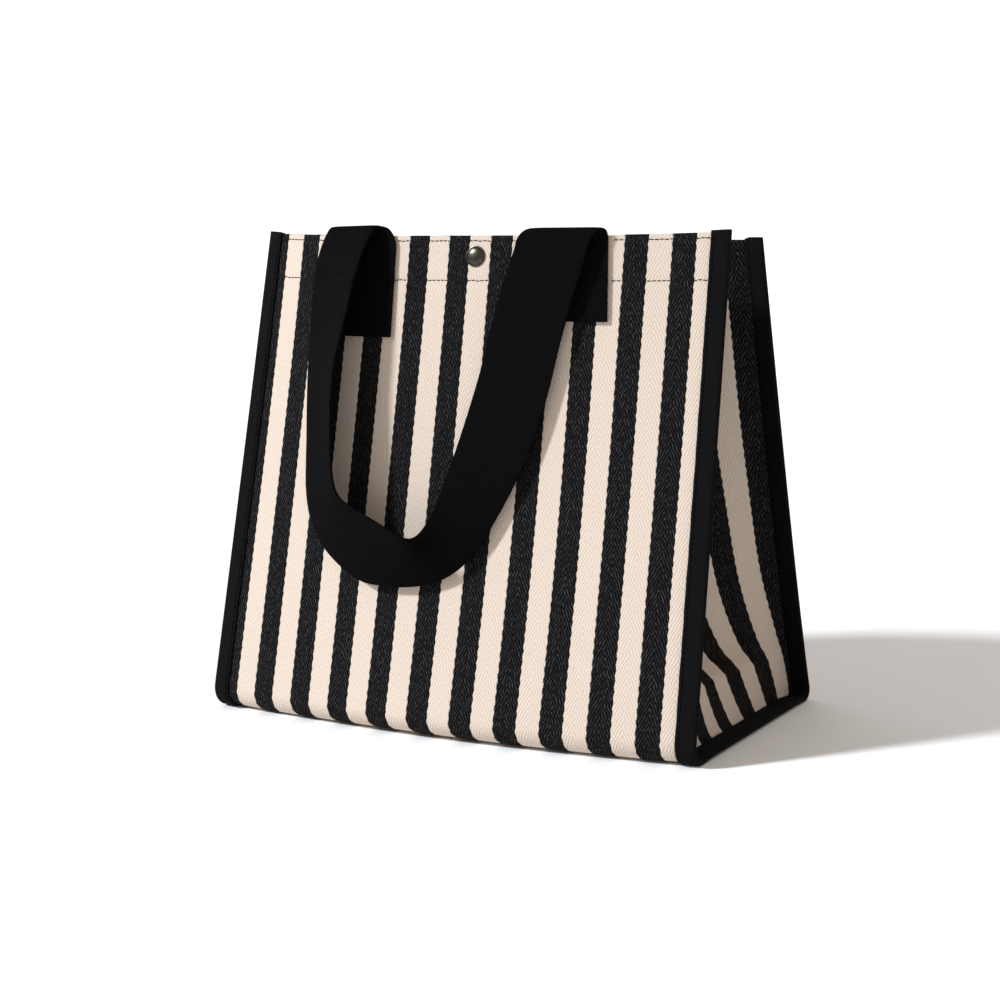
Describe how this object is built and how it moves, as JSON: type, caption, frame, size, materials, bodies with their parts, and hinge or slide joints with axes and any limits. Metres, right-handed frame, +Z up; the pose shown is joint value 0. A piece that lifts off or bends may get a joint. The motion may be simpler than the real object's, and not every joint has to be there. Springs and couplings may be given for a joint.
{
  "type": "tote bag",
  "caption": "Open canvas tote bag with vertical herringbone stripes, folded side gussets, bound seams, webbing handles and a snap.",
  "frame": {"origin": "centre of the footprint, at the floor", "axes": "+Z up, -Y towards the front panel, +X to the right seen from the front"},
  "size_m": [0.331, 0.2108, 0.2974],
  "materials": {
    "striped_canvas": "matte herringbone weave in cream and near-black stripes",
    "binding_tape": "matte black twill tape",
    "webbing": "matte black cotton webbing",
    "thread": "matte dark thread",
    "dark_metal": "polished gunmetal"
  },
  "bodies": {
    "base": {"base_panel": "striped_canvas", "gusset_right": "striped_canvas", "gusset_left": "striped_canvas", "base_binding_right": "binding_tape", "base_binding_left": "binding_tape"},
    "front": {"front_panel": "striped_canvas", "front_binding_right": "binding_tape", "front_binding_left": "binding_tape", "front_tab_left": "webbing", "front_tab_right": "webbing", "front_hem_stitching": "thread", "front_tab_stitching": "thread", "snap_cap_front": "dark_metal", "snap_socket": "dark_metal"},
    "back": {"back_panel": "striped_canvas", "back_binding_right": "binding_tape", "back_binding_left": "binding_tape", "back_tab_left": "webbing", "back_tab_right": "webbing", "back_hem_stitching": "thread", "back_tab_stitching": "thread", "snap_cap_back": "dark_metal", "snap_stud": "dark_metal"},
    "front_handle": {"front_handle_loop": "webbing"},
    "back_handle": {"back_handle_loop": "webbing"}
  },
  "joints": [
    {"name": "front_panel_lean", "type": "hinge", "parent": "base", "child": "front", "pos_m": [0, -0.0877, 0.01538], "axis": [1, 0, 0], "range_deg": [-3, 9], "deforming": ["gusset_right", "gusset_left"]},
    {"name": "back_panel_lean", "type": "hinge", "parent": "base", "child": "back", "pos_m": [0, 0.0877, 0.01538], "axis": [-1, 0, 0], "range_deg": [-3, 9]},
    {"name": "front_handle_swing", "type": "hinge", "parent": "front", "child": "front_handle", "pos_m": [0, -0.04315, 0.3001], "axis": [-1, 0, 0], "range_deg": [0, 162]},
    {"name": "back_handle_swing", "type": "hinge", "parent": "back", "child": "back_handle", "pos_m": [0, 0.04315, 0.3001], "axis": [1, 0, 0], "range_deg": [0, 162]}
  ],
  "couplings": [
    {"joint": "back_panel_lean", "follows": "front_panel_lean", "ratio": 1}
  ]
}
